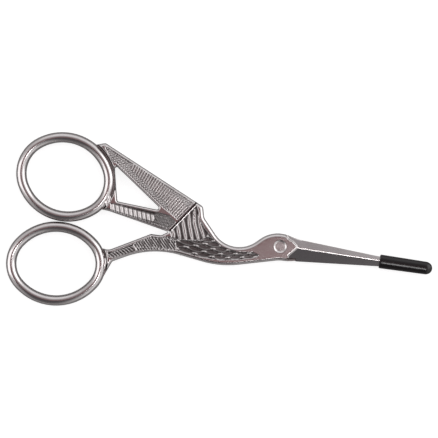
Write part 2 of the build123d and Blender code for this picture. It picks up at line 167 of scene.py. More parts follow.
def rounded(points, radii):
    """Return a line whose inner corners are arcs.

    An arc's centre lies on the corner's bisector at radius / sin(half angle), and its points are
    the centre plus the radius at evenly spaced directions from one side's foot to the other's.
    """
    points = np.asarray(points, float)
    pieces = [points[:1]]
    for before, corner, after, radius in zip(points, points[1:], points[2:], radii):
        one = (before - corner) / np.linalg.norm(before - corner)
        two = (after - corner) / np.linalg.norm(after - corner)
        half = np.arccos(np.clip(one @ two, -1, 1)) / 2
        centre = corner + (one + two) / np.linalg.norm(one + two) * radius / np.sin(half)
        foot, other = (corner + side * radius / np.tan(half) - centre for side in (one, two))
        turn = np.pi - 2 * half
        turn *= np.sign(foot[0] * other[1] - foot[1] * other[0])
        angles = np.linspace(0, turn, max(4, int(abs(turn) * radius / 0.2)))[:, None]
        pieces.append(centre + foot * np.cos(angles) + foot[::-1] * (-1, 1) * np.sin(angles))
    pieces.append(points[-1:])
    return np.vstack(pieces)


def closed(line):
    """Return the line with its first point again at its end."""
    return np.vstack([line, line[:1]])


def turned(points, angle):
    """Return points turned about the origin by an angle in degrees."""
    cosine, sine = np.cos(np.radians(angle)), np.sin(np.radians(angle))
    return np.asarray(points) @ np.array([(cosine, sine), (-sine, cosine)])


def nearest(points, line):
    """Return each point's distance to a line of straight sides, and the nearest place on it.

    The place is start + side * dot(point - start, side) / |side|², held between the side's ends.
    """
    gap = np.full(len(points), np.inf)
    place = np.zeros_like(points)
    for start, end in zip(line[:-1], line[1:]):
        side = end - start
        if not side.any():
            continue
        share = np.clip((points - start) @ side / (side @ side), 0, 1)
        spot = start + share[:, None] * side
        reach = np.hypot(*(points - spot).T)
        closer = reach < gap
        gap[closer] = reach[closer]
        place[closer] = spot[closer]
    return gap, place


def inside(points, polygon):
    """Return which points lie in a closed polygon.

    A ray to the right from such a point crosses the polygon's sides an odd number of times.
    """
    x, y = points.T
    odd = np.zeros(len(points), bool)
    for (x1, y1), (x2, y2) in zip(polygon[:-1], polygon[1:]):
        if y1 != y2:
            odd ^= ((y1 > y) != (y2 > y)) & (x < x1 + (y - y1) * (x2 - x1) / (y2 - y1))
    return odd


def step(value, start, end):
    """Return 0 at the start, 1 at the end and 3s² - 2s³ between."""
    share = np.clip((value - start) / (end - start), 0, 1)
    return share * share * (3 - 2 * share)


def bump(gap, width):
    """Return a round rise, (1 - (gap / width)²)², which is 0 past the width."""
    return np.clip(1 - (gap / width) ** 2, 0, None) ** 2


def field(points, polygon, soft):
    """Return 1 inside a polygon and 0 outside, eased over a soft border just inside its edge."""
    ring = closed(np.asarray(polygon, float))
    return np.where(inside(points, ring), step(nearest(points, ring)[0], 0, soft), 0)


def stroke(points, line, width, taper):
    """Return a rounded ridge along a line.

    Its half width is width * (1 - taper * s²), with s from 0 at the middle to 1 at the ends.
    """
    line = np.asarray(line, float)
    gap, place = nearest(points, line)
    middle = (line[0] + line[-1]) / 2
    far = np.linalg.norm(place - middle, axis=1) / (np.linalg.norm(line[0] - middle) + 1e-6)
    return bump(gap, width * (1 - taper * np.clip(far, 0, 1) ** 2))


def beads(along, across, pitch, row, size):
    """Return round studs in rows, each row moved half a pitch from the last."""
    line = np.round(across / row)
    shift = along / pitch + 0.5 * (line % 2)
    return bump(np.hypot((shift - np.round(shift)) * pitch, across - line * row), size)


def oval(bore, band, count):
    """Return an oval of four tangent arcs: each sample's arc centre, radius and direction.

    The end arcs' radius is wide² / long, and the side arcs are tangent to them where their
    centres' line leaves the long axis at the join angle.
    """
    long, wide = (bore[0] + band) / 2, (bore[1] + band) / 2
    end = wide * wide / long
    reach = long - end
    side = (reach**2 + wide**2 - end**2) / (2 * (wide - end))
    join = np.arctan2(side - wide, reach)
    ends, flanks = join * end, (np.pi / 2 - join) * side
    few, many = (max(6, int(count * part / (ends + flanks) / 2)) for part in (ends, flanks))
    arcs = [
        ((reach, 0), end, -join, join, few),
        ((0, wide - side), side, join, np.pi - join, many),
        ((-reach, 0), end, np.pi - join, np.pi + join, few),
        ((0, side - wide), side, np.pi + join, 2 * np.pi - join, many),
    ]
    centres = np.vstack([np.tile(arc[0], (arc[4], 1)) for arc in arcs])
    radii = np.concatenate([np.full(arc[4], arc[1]) for arc in arcs])
    angles = np.concatenate([np.linspace(*arc[2:], endpoint=False) for arc in arcs])
    return centres, radii, angles


def ring_gap(points, ring, band):
    """Return how far points lie outside the middle line of a finger ring's band."""
    centre, bore, tilt = ring
    centres, radii, angles = oval(bore, band, 240)
    middle = centres + radii[:, None] * np.stack([np.cos(angles), np.sin(angles)], 1)
    middle = closed(turned(middle, tilt) + centre)
    return nearest(points, middle)[0] * np.where(inside(points, middle), -1, 1)


def ring_line(ring, band, first, last):
    """Return points on the middle of a ring's band between two angles in degrees."""
    centre, bore, tilt = ring
    angles = np.radians(np.linspace(first, last, 9))
    long, wide = ((size + band) / 2 for size in bore)
    return turned(np.stack([long * np.cos(angles), wide * np.sin(angles)], 1), tilt) + centre


def round_quads(rows, columns):
    """Return the quads of a grid that is closed round its rows and its columns."""
    i, j = np.meshgrid(np.arange(rows), np.arange(columns), indexing="ij")
    after, beside = (i + 1) % rows, (j + 1) % columns
    corners = [i * columns + j, after * columns + j, after * columns + beside, i * columns + beside]
    return np.stack(corners, 2).reshape(-1, 4)


def tube_quads(rows, columns):
    """Return the quads of a tube's grid, closed round its columns, facing outwards."""
    i, j = np.meshgrid(np.arange(rows - 1), np.arange(columns), indexing="ij")
    beside, after = (j + 1) % columns, (i + 1) * columns
    corners = [i * columns + j, i * columns + beside, after + beside, after + j]
    return np.stack(corners, 2).reshape(-1, 4)


def caps(rows, columns):
    """Return the quads that close a tube's first section and its last."""
    half = np.arange(columns // 2 - 1)
    across = np.stack([half, half + 1, columns - 2 - half, columns - 1 - half], 1)
    return across, (rows - 1) * columns + across[:, ::-1]


def make_piece(name, vertices, faces, sharp=55, **values):
    """Put a surface in millimetres into a new object, with a float attribute for each value."""
    mesh = bpy.data.meshes.new(name)
    mesh.vertices.add(len(vertices))
    mesh.vertices.foreach_set("co", (np.asarray(vertices) / MM).ravel())
    mesh.loops.add(faces.size)
    mesh.loops.foreach_set("vertex_index", faces.ravel().astype(np.int32))
    mesh.polygons.add(len(faces))
    starts = np.arange(0, faces.size, faces.shape[1], dtype=np.int32)
    mesh.polygons.foreach_set("loop_start", starts)
    mesh.update(calc_edges=True)
    mesh.validate()
    mesh.shade_smooth()
    mesh.set_sharp_from_angle(angle=np.radians(sharp))
    for label, value in values.items():
        attribute = mesh.attributes.new(label, "FLOAT", "POINT")
        attribute.data.foreach_set("value", value.astype(np.float32))
    piece = bpy.data.objects.new(name, mesh)
    bpy.context.scene.collection.objects.link(piece)
    return piece


def joined(*surfaces):
    """Return several surfaces as one: their vertices, quads and painted shade values."""
    starts = np.cumsum([0] + [len(surface[0]) for surface in surfaces])
    vertices = np.vstack([surface[0] for surface in surfaces])
    faces = np.vstack([surface[1] + start for surface, start in zip(surfaces, starts)])
    return vertices, faces, np.concatenate([surface[2] for surface in surfaces])


def plate(outline, cuts, top, bottom, pitch):
    """Return a closed plate over a plan region, carved on its top and bottom.

    Vertex (i, j) of a square grid is kept where a cell whose middle is in the region touches it.
    One on the rim of the kept cells moves to the nearest place on the region's edge. Heights are
    top(x, y) and bottom(x, y). Grid rows lean with the blade's ridge, so that one row is the ridge.
    """
    low, high = outline.min(0) - pitch, outline.max(0) + pitch
    x = np.arange(np.floor(low[0] / pitch), np.ceil(high[0] / pitch) + 1) * pitch
    y = np.arange(np.floor(low[1] / pitch) - 4, np.ceil(high[1] / pitch) + 5) * pitch
    wide, tall = len(x), len(y)
    lean = RIDGE_ROOT[1] * np.clip((BLADE_END[0] - x) / (BLADE_END[0] - RIDGE_ROOT[0]), 0, 1)
    plan = np.stack([np.tile(x, (tall, 1)), y[:, None] + lean], 2).reshape(-1, 2)
    corner = (np.arange(tall - 1)[:, None] * wide + np.arange(wide - 1)).ravel()
    cells = np.stack([corner, corner + 1, corner + wide + 1, corner + wide], 1)
    middles = plan[cells].mean(1)
    kept = inside(middles, outline)
    for cut in cuts:
        kept[kept] = ~inside(middles[kept], cut)
    cells = cells[kept]
    count = np.bincount(cells.ravel(), minlength=len(plan))
    rim = (count > 0) & (count < 4)
    gap = np.full(rim.sum(), np.inf)
    place = np.zeros((rim.sum(), 2))
    for edge in [outline] + cuts:
        reach, spot = nearest(plan[rim], edge)
        closer = reach < gap
        gap[closer], place[closer] = reach[closer], spot[closer]
    plan[rim] = place
    used = count > 0
    number = np.cumsum(used) - 1
    points, cells = plan[used], number[cells]
    size = len(points)
    starts, ends = cells.ravel(), np.roll(cells, -1, axis=1).ravel()
    lone = ~np.isin(starts * size + ends, ends * size + starts)
    walls = np.stack([starts[lone] + size, ends[lone] + size, ends[lone], starts[lone]], 1)
    upper, hollow_up = top(points)
    lower, hollow_down = bottom(points)
    vertices = np.vstack([np.column_stack([points, upper]), np.column_stack([points, lower])])
    faces = np.vstack([cells, cells[:, ::-1] + size, walls])
    return vertices, faces, np.concatenate([hollow_up, hollow_down])


def finger_ring(ring, band, thickness):
    """Return an oval ring of round section.

    Plan is arc centre + (arc radius + band / 2 cos v) (cos u, sin u), z is half + half sin v.
    """
    centre, bore, tilt = ring
    centres, radii, angles = oval(bore, band, 320)
    turn = np.linspace(0, 2 * np.pi, 48, endpoint=False)
    reach = radii[:, None] + (band / 2 - RING_SLACK) * np.cos(turn)
    rows, columns = reach.shape
    x = centres[:, :1] + reach * np.cos(angles)[:, None]
    y = centres[:, 1:] + reach * np.sin(angles)[:, None]
    plan = turned(np.stack([x.ravel(), y.ravel()], 1), tilt) + centre
    heights = np.tile(thickness / 2 * (1 + np.sin(turn)), rows)
    # Painted shade: the plating is darkened on the ring's flanks, fading out towards its top and
    # bottom
    tone = np.tile(RING_FLANK_SHADE * (1 - step(np.abs(np.sin(turn)), 0.45, 0.9)), rows)
    return np.column_stack([plan, heights]), round_quads(rows, columns), tone


def petals(lines, level):
    """Return closed ovals that lie along lines, round in section.

    Each point is middle + half cos(t) run + width sin(t) (cos(u) across, 0.8 sin(u) up).
    """
    swing = np.linspace(0.1, np.pi - 0.1, 20)
    turn = np.linspace(0, 2 * np.pi, 24, endpoint=False)
    faces = np.vstack([tube_quads(len(swing), len(turn)), *caps(len(swing), len(turn))])[:, ::-1]
    surfaces = []
    for start, end, width in lines:
        half = (np.array(start) - end) / 2
        across = half[::-1] * (-1, 1) / np.linalg.norm(half)
        spread = width * np.sin(swing)
        plan = np.repeat(np.array(end) + half + np.outer(np.cos(swing), half), len(turn), 0)
        plan += np.outer(np.outer(spread, np.cos(turn)).ravel(), across)
        z = level + 0.8 * np.outer(spread, np.sin(turn)).ravel()
        surfaces.append((np.column_stack([plan, z]), faces, np.zeros(len(z))))
    return joined(*surfaces)


def circle(radius):
    """Return a closed circle about the pivot."""
    turn = np.linspace(0, 2 * np.pi, 73)
    return radius * np.stack([np.cos(turn), np.sin(turn)], 1)


def washer(inner, outer, low, high):
    """Return a flat ring about the pivot: its section's corners (r, z) at evenly spaced turns."""
    turn = np.linspace(0, 2 * np.pi, 72, endpoint=False)
    section = np.array([(inner, low), (outer, low), (outer, high), (inner, high)])
    x = np.outer(np.cos(turn), section[:, 0])
    y = np.outer(np.sin(turn), section[:, 0])
    vertices = np.column_stack([x.ravel(), y.ravel(), np.tile(section[:, 1], len(turn))])
    return vertices, round_quads(len(turn), 4), np.zeros(len(vertices))


def seam_axes(end):
    """Return a seam's start in the notch, its direction and the direction to its left."""
    start = np.array(NOTCH)
    run = np.array(end) - start
    run /= np.linalg.norm(run)
    return start, run, run[::-1] * (-1, 1)


def seam_slot(end, width):
    """Return the closed outline of a slot along a seam, from the notch past its other end."""
    start, run, left = seam_axes(end)
    across = left * width / 2
    start, end = start - run * width / 2, np.array(end) + run
    return closed(np.array([start + across, start - across, end - across, end + across]))


def beyond_seam(end, width, side):
    """Return a wide outline of all that lies past a seam, on its left (1) or right (-1)."""
    start, run, left = seam_axes(end)
    across = left * side
    near = start - across * width / 2
    back, ahead, far = near - run * 60, near + run * 60, across * 90
    return closed(np.array([back, ahead, ahead + far, back + far]))


def parting_shade(points):
    """Return how far an inner face is darkened: 0.2, rising to painted black shade near a seam or
    the choil.
    """
    lines = ([NOTCH, SEAM_TOP], [NOTCH, HIP], CHOIL[1:])
    gap = np.min([nearest(points, np.array(line))[0] for line in lines], axis=0)
    return 0.2 + 0.8 * bump(gap, 1.3)


def front_edges(band):
    """Return the front lever's rounded edges: the leg's top, the belly and the head."""
    foot = ring_line(LOWER_RING, band, *LOWER_WEB)[-1]
    leg_top = rounded(LEG_TOP[::-1] + [tuple(foot)], LEG_TOP_ROUNDS[::-1])
    belly = rounded(BELLY + [SPUR_END], BELLY_ROUNDS)
    return leg_top, belly, rounded([SEAM_TOP] + HEAD, HEAD_ROUNDS)


def back_edges(band):
    """Return the back lever's rounded edges: the wing with the head, the arm and the belly."""
    first, last = ring_line(UPPER_RING, band, *UPPER_WEB)[[0, -1]]
    rounds = [WING_TIP_ROUND, BACK_SHOULDER_ROUND] + HEAD_ROUNDS[1:]
    wing = rounded([tuple(first), WING_TIP] + HEAD, rounds)
    arm = rounded([NOTCH, CROTCH, tuple(last)], [CROTCH_ROUND])
    return wing, arm, rounded(BELLY[:3] + [HIP], BELLY_ROUNDS[:2])


def front_outline(band):
    """Return the closed outline of the front lever's plates."""
    web = ring_line(LOWER_RING, band, *LOWER_WEB)
    leg_top, belly, head = front_edges(band)
    parts = [head[::-1], [NOTCH], leg_top[1:], web[::-1][1:-1], [SPUR_END], belly[::-1][1:]]
    return closed(np.vstack(parts + [CHOIL[::-1], [EDGE_TIP], [BLADE_END]]))[::-1]


def back_outline(band):
    """Return the closed outline of the back lever's plates."""
    web = ring_line(UPPER_RING, band, *UPPER_WEB)
    wing, arm, belly = back_edges(band)
    inset = np.array([(-BACK_BLADE_INSET, 0), (0, BACK_BLADE_INSET), (0, BACK_BLADE_INSET)])
    blade = np.array([BLADE_END, EDGE_TIP, CHOIL[0]]) + inset
    return closed(np.vstack([wing, blade, belly, [NOTCH], arm[1:], web[::-1][1:]]))[::-1]


def rim_drop(gap, width, drop):
    """Return how far a rim falls: drop (1 - gap / width)², with a quarter round at its very edge.

    The quarter round has radius lip: 0.7 lip (1 - sqrt(1 - (1 - gap / lip)²)).
    """
    share = np.clip(1 - gap / width, 0, 1)
    edge = np.clip(1 - gap / RIM_LIP, 0, 1)
    return drop * share**2 + 0.7 * RIM_LIP * (1 - np.sqrt(1 - edge * edge))


def wing_carving(points):
    """Return the wing's raised work: fanned ribs, rows of studs along the window, stud patches.

    The ribs are rays from a far centre, a pitch apart at a reach. The studs near the window
    follow its top edge, and those in the patches follow the seam or the same edge.
    """
    centre, reach, pitch = (-56.5, -33.4), 49.3, 0.72
    x, y = points.T
    fan = np.arctan2(y - centre[1], x - centre[0]) * reach / pitch
    ribs = bump(fan - np.round(fan), 0.5)
    along = (points - WINDOW[0]) @ (0.812, -0.583)
    above = (points - WINDOW[0]) @ (0.583, 0.812)
    rows = beads(along, above - 0.66, 0.7, 0.58, 0.36)
    down = (points - SEAM_TOP) @ (-0.419, -0.908)
    back = (points - SEAM_TOP) @ (-0.908, 0.419)
    studs = beads(back, down, 0.68, 0.6, 0.33)
    near_window = (above < 2.1) & (x < -32.0)
    patch = (x < -44.4 + 0.35 * above) | ((down < 2.6 - 0.16 * back) & (back < 9.5))
    return np.where(near_window, rows, np.where(patch, studs, ribs))


def arm_carving(points):
    """Return the arm's ten short ribs and the pecked patch between them and the seam.

    A rib is a round rise about a short line, 1.24 long and a pitch from the next one.
    """
    first, pitch = (-46.67, 3.95), 1.198
    x, y = points.T
    across = (points - first) @ (0.121, 0.993)
    along = ((x - first[0]) + 0.3 * (y - first[1])) / pitch
    rib = np.clip(np.round(along), 0, 9)
    reach = np.hypot((along - rib) * pitch, np.clip(np.abs(across) - 0.62, 0, None))
    ribs = bump(reach, 0.68)
    pecks = beads(x + 0.4 * y, y - 0.3 * x, 0.52, 0.42, 0.27)
    return np.where(x < -35.1, ribs, 0.8 * pecks)


def body_carving(points):
    """Return the body's raised work: long feathers over rows of scales that shrink to the neck.

    A scale's lower edge is a shallow U, hang = 0.12 + 0.42 (2s - 1)² of a row, and a stud stands
    where two of them meet. The scales' count grows as the log of the way to the neck.
    """
    row_height, neck = 1.06, 55
    x, y = points.T
    feathers, quills = (
        np.max([stroke(points, line, width, FEATHER_TAPER) for line in LONG_FEATHERS], axis=0)
        for width in (FEATHER_WIDTH, QUILL_WIDTH)
    )
    floor = np.interp(x, [-28, -21.2, -15.7, -10.3, -4.4], [-5.15, -5.96, -5.98, -5.06, -3.92])
    row = (y - floor) / row_height
    line = np.floor(row)
    place = -22 * np.log(np.clip(1 - (x + 28) / neck, 0.05, None)) / 2.2 + 0.5 * (line % 2)
    share, rise = place - np.floor(place), row - line
    hang = 0.12 + 0.42 * (2 * share - 1) ** 2
    edges = 0.42 * bump(rise - hang, 0.2)
    corner = np.minimum(share, 1 - share)
    dots = bump(np.hypot(corner * 2.1, (rise - 0.56) * row_height), 0.46)
    scales = np.max([edges, dots, 0.16 * (1 - share)], axis=0)
    ledge = np.interp(x, [-28.4, -21.9, -20.6, -19.5], [-2.2, -1.6, -0.6, 1.5])
    ridge = 0.8 * bump(y - ledge, 0.28) * (x < -20.4)
    work = np.where(y > ledge, feathers - 0.3 * quills, scales)
    return np.maximum(work, ridge)


def thigh_carving(points):
    """Return the thigh's slanted hatching between two rows of studs, and the bar at its end."""
    hatch_pitch, stud_pitch = 0.62, 0.88
    x, y = points.T
    slant = (x * 0.72 + y * 0.69) / hatch_pitch
    hatch = 0.75 * bump(slant - np.round(slant), 0.4)
    low = np.interp(x, [-39.7, -34.9, -27.7], [-6.0, -5.3, -5.1])
    high = np.interp(x, [-39.7, -35.3, -30.7, -28.3], [-5.2, -2.9, -2.2, -3.0])
    run = x / stud_pitch
    row = np.minimum(np.abs(y - low), np.abs(y - high))
    studs = bump(np.hypot((run - np.round(run)) * stud_pitch, row), 0.36)
    bar = 0.9 * stroke(points, [(-28.4, -3.1), (-27.75, -5.3)], 0.26, 0)
    return np.maximum(np.maximum(hatch, studs), bar)


def shank_carving(points):
    """Return the slim leg's row of short slanted strokes, each a round rise about a short line."""
    start, run, left = np.array((-46.2, -9.6)), (0.888, 0.46), (-0.46, 0.888)
    pitch, half = 0.83, 0.42
    along, across = (points - start) @ run, (points - start) @ left
    slant = (along + 0.55 * across) / pitch
    past_end = np.clip(np.abs(across) - half, 0, None)
    return bump(np.hypot((slant - np.round(slant)) * pitch, past_end), 0.44)


# How much painted shade each carved field's hollows get, its carving and its corners
FIELDS = (
    (0.42, wing_carving, [
        (-51.3, 20.0), (-50.5, 20.1), (-24.95, 8.4), (-28.75, 3.1), (-31.0, 4.6),
        (-33.0, 5.75), (-47.6, 16.1), (-49.0, 16.2), (-49.9, 17.9),
    ]),
    (1.0, arm_carving, [
        (-47.5, 4.9), (-45.6, 5.1), (-35.4, 4.35), (-33.4, 4.3), (-31.2, 4.0), (-29.1, 2.5),
        (-30.75, 0.25), (-35.2, 1.25), (-47.0, 2.95),
    ]),
    (1.0, body_carving, [
        (-24.1, 7.9), (-23.3, 6.3), (-22.4, 3.8), (-21.1, 2.0), (-18.6, -0.2), (-15.6, -2.4),
        (-11.2, -3.1), (-7.2, -2.6), (-5.3, -3.2), (-6.0, -3.9), (-10.3, -5.1), (-15.7, -6.05),
        (-21.2, -6.0), (-26.9, -5.25), (-27.7, -5.2), (-28.4, -3.1), (-29.6, -1.9), (-30.2, -0.4),
    ]),
    (1.0, thigh_carving, [
        (-40.0, -5.2), (-35.2, -2.35), (-32.3, -2.25), (-30.5, -1.6), (-29.6, -1.8),
        (-28.3, -2.9), (-27.5, -5.3), (-33.8, -5.75), (-38.6, -6.8),
    ]),
    (1.0, shank_carving, [
        (-46.5, -8.2), (-45.2, -8.15), (-40.0, -5.2), (-38.6, -6.8), (-41.0, -7.9),
        (-44.6, -9.7), (-46.0, -9.6),
    ]),
)


def carved(points, rims, depth, rings):
    """Return how deep a face lies below its plane, and its painted shade, from 0 to 1.

    The deepest of the rims' falls and the dips beside the rings counts, and the carving's depth is
    added. Inside each field the face is sunk by the depth and its carving rises from there. The
    painted shade darkens the carving's recesses: it is the field's strength times how far it is
    sunk, and it is 1 in a ring's groove.
    """
    fall = np.zeros(len(points))
    for line, (width, drop) in rims:
        fall = np.maximum(fall, rim_drop(nearest(points, line)[0], width, drop))
    sunk = np.zeros(len(points))
    hollow = np.zeros(len(points))
    for dark, carving, polygon in FIELDS:
        near = inside(points, closed(np.array(polygon)))
        if near.any():
            sunk[near] = field(points[near], polygon, 0.22) * (1 - carving(points[near]))
            # Painted shade: the sunk recesses of the carving are darkened
            hollow[near] = dark * sunk[near]
    for ring, band in rings:
        gap = ring_gap(points, ring, band)
        dip = 1 - step(gap, band / 2 + 0.12, band / 2 + 0.55)
        fall = np.maximum(fall, RING_GROOVE * dip)
        # Painted shade: the groove between the ring and the plate is darkened to black
        hollow = np.maximum(hollow, dip * step(gap, band / 2 - 0.2, band / 2 + 0.2))
    return fall + depth * sunk, hollow


def beak(points, sign):
    """Return the height of the blade's ground facets above the parting face.

    Each facet is a plane from the ridge, which falls evenly to the tip, down to the spine or edge.
    A narrow land, whose slope lies between theirs, takes off the sharp ridge.
    """
    x, y = points.T[0], points.T[1] * sign
    share = (x - RIDGE_ROOT[0]) / (BLADE_END[0] - RIDGE_ROOT[0])
    ridge_y = RIDGE_ROOT[1] * (1 - share)
    ridge_z, spine_z = (
        root - (root - tip) * share for root, tip in (RIDGE_HEIGHTS, SPINE_HEIGHTS)
    )
    spine_y, edge_y = 2.61 - 2.135 * share, -3.42 + 2.945 * share
    spine = ridge_z + (spine_z - ridge_z) * (y - ridge_y) / (spine_y - ridge_y)
    edge = ridge_z + (EDGE_HEIGHT - ridge_z) * (y - ridge_y) / (edge_y - ridge_y)
    land = ridge_z - LAND_CUT + LAND_SLOPE * (y - ridge_y)
    return np.minimum(np.where(y > ridge_y, spine, edge), land)


def head_face(points, sign):
    """Return 1 on the ground head and beak and 0 on the plain face, eased past the face's edge."""
    edge = [(0.6, 12.0)] + FACE_EDGE + [(2.34, -2.1), (2.34, -12.0)]
    mirrored = points * (1, sign)
    past = inside(mirrored, closed(np.array(edge + [(60.0, -12.0), (60.0, 12.0)])))
    return past * step(nearest(mirrored, np.array(edge))[0], 0, FACE_EASE)


def face_height(points, face, rims, depth, rings, inner, sign):
    """Return the height and hollow value of a carved and ground face.

    The height is the carved one, eased to the lower of it and the beak's where the face is
    ground, and is held above the inner face. Sign -1 is the far side, mirrored in y.
    """
    sunk, hollow = carved(points, rims, depth, rings)
    height = face - sunk
    ground = head_face(points, sign)
    height += ground * (np.minimum(height, inner + beak(points, sign)) - height)
    return np.maximum(height, inner), hollow


def guard_sleeve(low, high):
    """Return the vertices and quads of a sleeve with a bore, in a box, round at its closed end.

    The section at x is middle + half size * (cos t, sin t) to the power 2 / GUARD_POWER. The half
    sizes taper along x, and shrink by sqrt(1 - s^2.2) over the nose.
    """
    length = high[0] - low[0]
    shoulder = length - GUARD_NOSE
    turn = np.linspace(0, 2 * np.pi, 72, endpoint=False)
    swing = np.sin(np.linspace(0.06, np.pi / 2 - 0.1, 22))
    along = np.concatenate([[0.0, 0.04, 0.12, 0.25], np.linspace(0.5, shoulder, 30)])
    along = np.concatenate([along, shoulder + GUARD_NOSE * swing / swing[-1]])
    lip = 1 - 0.05 * (1 - step(along, 0, 0.25))
    past = swing[-1] * np.clip((along - shoulder) / GUARD_NOSE, 0, 1)
    nose = np.sqrt(np.clip(1 - past**2.2, 0, 1))
    depth = np.linspace(0, length - GUARD_CAP, 12)
    power = 2 / GUARD_POWER
    shapes = [np.sign(way) * np.abs(way) ** power for way in (np.cos(turn), np.sin(turn))]
    halves, middle = (high - low)[1:] / 2, ((high + low) / 2)[1:]
    outer = [(half - along * GUARD_TAPER) * lip * nose for half in halves]
    bore = [half - wall - depth * GUARD_TAPER for half, wall in zip(halves, GUARD_WALLS)]
    vertices = np.vstack([
        surface_of_sections(low[0] + along, middle, outer, shapes),
        surface_of_sections(low[0] + depth, middle, bore, shapes),
    ])
    count, start = len(turn), len(turn) * len(along)
    steps = np.arange(count)
    ahead = (steps + 1) % count
    faces = [
        tube_quads(len(along), count),
        tube_quads(len(depth), count)[:, ::-1] + start,
        np.stack([steps, steps + start, ahead + start, ahead], 1),
        start + caps(len(depth), count)[1][:, ::-1],
        caps(len(along), count)[1],
    ]
    return vertices, np.vstack(faces)


def surface_of_sections(along, middle, halves, shapes):
    """Return vertices (x, y, z) = (along, middle + half size * shape)."""
    x = np.repeat(along, len(shapes[0]))
    spread = [np.outer(half, shape).ravel() for half, shape in zip(halves, shapes)]
    return np.column_stack([x, middle[0] + spread[0], middle[1] + spread[1]])


class ScissorsSettings(bpy.types.PropertyGroup):
    """Sizes, finishes and colours of the scissors."""

    thickness: bpy.props.FloatProperty(
        name="Thickness", description="Thickness of the closed scissors",
        default=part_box("front_lever")[1].z, unit="LENGTH",
    )
    parting_gap: bpy.props.FloatProperty(
        name="Parting gap", description="Gap between the two levers' inner faces",
        default=0.00006, unit="LENGTH",
    )
    seam_gap: bpy.props.FloatProperty(
        name="Seam gap", description="Gap at the square end of each lever",
        default=0.0005, unit="LENGTH",
    )
    ring_band: bpy.props.FloatProperty(
        name="Ring band", description="Width of each finger ring's band",
        default=0.00285, unit="LENGTH",
    )
    rim_width: bpy.props.FloatProperty(
        name="Rim width", description="Width of the rounded rim round the head",
        default=0.00095, unit="LENGTH",
    )
    rim_drop: bpy.props.FloatProperty(
        name="Rim drop", description="How far the head's and belly's rims fall at the edge",
        default=0.0007, unit="LENGTH",
    )
    carving_depth: bpy.props.FloatProperty(
        name="Carving depth", description="Depth of the carved feathers, ribs and studs",
        default=0.0004, unit="LENGTH",
    )
    steel: bpy.props.FloatVectorProperty(
        name="Plated steel", description="Colour of the bright plating",
        default=(0.72, 0.69, 0.69), subtype="COLOR",
    )
    # Dark colour for random tarnished patches and for the painted shade in hollows, on ring flanks
    # and at seams
    tarnish_and_shade: bpy.props.FloatVectorProperty(
        name="Hollows", description="Colour of the darkened carving",
        default=(0.075, 0.062, 0.062), subtype="COLOR",
    )
    vinyl: bpy.props.FloatVectorProperty(
        name="Vinyl", description="Colour of the tip guard",
        default=(0.006, 0.005, 0.0055), subtype="COLOR",
    )
    floor: bpy.props.FloatVectorProperty(
        name="Floor", description="Colour of the studio floor",
        default=(0.42, 0.42, 0.42), subtype="COLOR",
    )
    view_width: bpy.props.FloatProperty(
        name="View width", description="Width of the floor that the camera frames",
        default=0.1194, unit="LENGTH",
    )
    view_turn: bpy.props.FloatProperty(
        name="View turn", description="Turn of the camera about its own line of sight",
        default=np.radians(8.3), unit="ROTATION",
    )


def feed(links, socket, value):
    """Link a socket to another one, or give it a plain value."""
    if isinstance(value, bpy.types.NodeSocket):
        links.new(value, socket)
    else:
        socket.default_value = value


def arithmetic(nodes, links, operation, *values):
    """Add a Math node with sockets or numbers on its inputs and return its output."""
    node = nodes.new("ShaderNodeMath")
    node.operation = operation
    for socket, value in zip(node.inputs, values):
        feed(links, socket, value)
    return node.outputs[0]


def mix_colours(nodes, links, cover, first, second):
    """Add a Mix node from one colour to another by a cover and return its output."""
    node = nodes.new("ShaderNodeMix")
    node.data_type = "RGBA"
    for socket, value in zip((node.inputs["Factor"], *node.inputs[6:8]), (cover, first, second)):
        feed(links, socket, value)
    return node.outputs[2]


def noises(nodes, links, place, *kinds):
    """Add a Noise node with each scale and detail, laid out on a vector, and return the nodes."""
    made = []
    for scale, detail in kinds:
        noise = nodes.new("ShaderNodeTexNoise")
        noise.inputs["Scale"].default_value = scale
        noise.inputs["Detail"].default_value = detail
        links.new(place, noise.inputs["Vector"])
        made.append(noise.outputs["Fac"])
    return made


def raised(nodes, links, shader, height, distance):
    """Feed a height through a Bump node into a shader's normal."""
    relief = nodes.new("ShaderNodeBump")
    relief.inputs["Distance"].default_value = distance
    relief.inputs["Strength"].default_value = 0.25
    links.new(height, relief.inputs["Height"])
    links.new(relief.outputs["Normal"], shader.inputs["Normal"])


